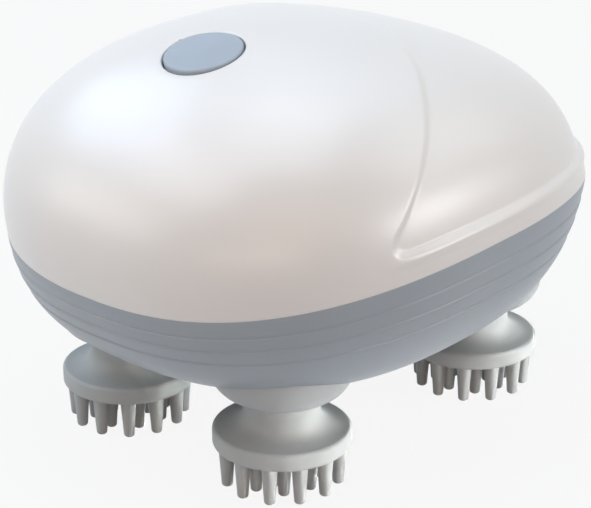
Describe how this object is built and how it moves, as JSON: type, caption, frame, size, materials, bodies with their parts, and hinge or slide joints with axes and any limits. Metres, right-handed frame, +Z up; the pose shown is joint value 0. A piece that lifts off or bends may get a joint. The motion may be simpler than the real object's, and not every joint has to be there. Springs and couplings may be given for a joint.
{
  "type": "electric scalp massager",
  "caption": "Palm-sized cordless scalp massager: egg-shaped two-shell housing with a push button on top and geared silicone finger heads below.",
  "frame": {"origin": "below the middle of the housing, at the level of the finger tips", "axes": "+Z up to the crown with the power button, +X towards the narrow tail with the charging contacts, +Y to the side"},
  "size_m": [0.1167, 0.0984, 0.0807],
  "materials": {
    "top_shell": "pearl gloss paint on moulded ABS",
    "lower_shell": "satin moulded ABS with lapped grip grooves",
    "seal": "soft black-grey seal",
    "button": "satin moulded ABS",
    "silicone": "soft translucent grey silicone",
    "boot": "soft grey silicone",
    "frame": "moulded ABS",
    "hub": "moulded ABS",
    "gear": "natural acetal",
    "steel": "bright ground steel",
    "can": "plated steel",
    "bronze": "sintered bronze",
    "contact": "gold-plated brass",
    "dark_plastic": "dark moulded plastic",
    "cradle": "moulded ABS",
    "board": "green solder mask",
    "cell": "shrink sleeve",
    "wire_live": "insulation",
    "wire_return": "insulation"
  },
  "bodies": {
    "root": {"top_shell": "top_shell", "lower_shell": "lower_shell", "seam_seal": "seal", "tact_switch": "dark_plastic", "circuit_board": "board", "board_screws": "steel", "rechargeable_cell": "cell", "cell_cradle": "cradle", "motor_can": "can", "motor_gearhead": "can", "motor_screws": "steel", "gear_frame": "frame", "gear_cover": "frame", "cover_screws": "steel", "frame_screws": "steel", "cover_bushes": "bronze", "housing_screws": "steel", "screw_plugs": "seal", "charge_contacts": "contact", "contact_block": "dark_plastic", "live_wires": "wire_live", "return_wires": "wire_return", "shaft_bush_1": "bronze", "shaft_boot_1": "boot", "shaft_bush_2": "bronze", "shaft_boot_2": "boot", "shaft_bush_3": "bronze", "shaft_boot_3": "boot", "shaft_bush_4": "bronze", "shaft_boot_4": "boot"},
    "drive": {"drive_shaft": "steel", "center_gear": "gear"},
    "button": {"power_button": "button", "switch_plunger": "dark_plastic"},
    "head_1": {"output_shaft_1": "steel", "head_gear_1": "gear", "head_hub_1": "hub", "massage_head_1": "silicone"},
    "head_2": {"output_shaft_2": "steel", "head_gear_2": "gear", "head_hub_2": "hub", "massage_head_2": "silicone"},
    "head_3": {"output_shaft_3": "steel", "head_gear_3": "gear", "head_hub_3": "hub", "massage_head_3": "silicone"},
    "head_4": {"output_shaft_4": "steel", "head_gear_4": "gear", "head_hub_4": "hub", "massage_head_4": "silicone"}
  },
  "joints": [
    {"name": "drive_spin", "type": "hinge", "parent": "root", "child": "drive", "pos_m": [-0.0006, 0, 0.034], "axis": [0, 0, 1], "continuous": true},
    {"name": "head_1_spin", "type": "hinge", "parent": "root", "child": "head_1", "pos_m": [-0.0296, -0.0205, 0.034], "axis": [0, 0, 1], "continuous": true},
    {"name": "head_2_spin", "type": "hinge", "parent": "root", "child": "head_2", "pos_m": [0.0284, -0.0205, 0.034], "axis": [0, 0, 1], "continuous": true},
    {"name": "head_3_spin", "type": "hinge", "parent": "root", "child": "head_3", "pos_m": [0.0284, 0.0205, 0.034], "axis": [0, 0, 1], "continuous": true},
    {"name": "head_4_spin", "type": "hinge", "parent": "root", "child": "head_4", "pos_m": [-0.0296, 0.0205, 0.034], "axis": [0, 0, 1], "continuous": true},
    {"name": "power_press", "type": "slide", "parent": "root", "child": "button", "axis": [-0.245, 0, 0.9695], "range_m": [-0.0006, 0], "stiffness_N_per_m": 2500}
  ],
  "couplings": [
    {"joint": "head_1_spin", "follows": "drive_spin", "ratio": -1.7308},
    {"joint": "head_2_spin", "follows": "drive_spin", "ratio": -1.7308},
    {"joint": "head_3_spin", "follows": "drive_spin", "ratio": -1.7308},
    {"joint": "head_4_spin", "follows": "drive_spin", "ratio": -1.7308}
  ]
}
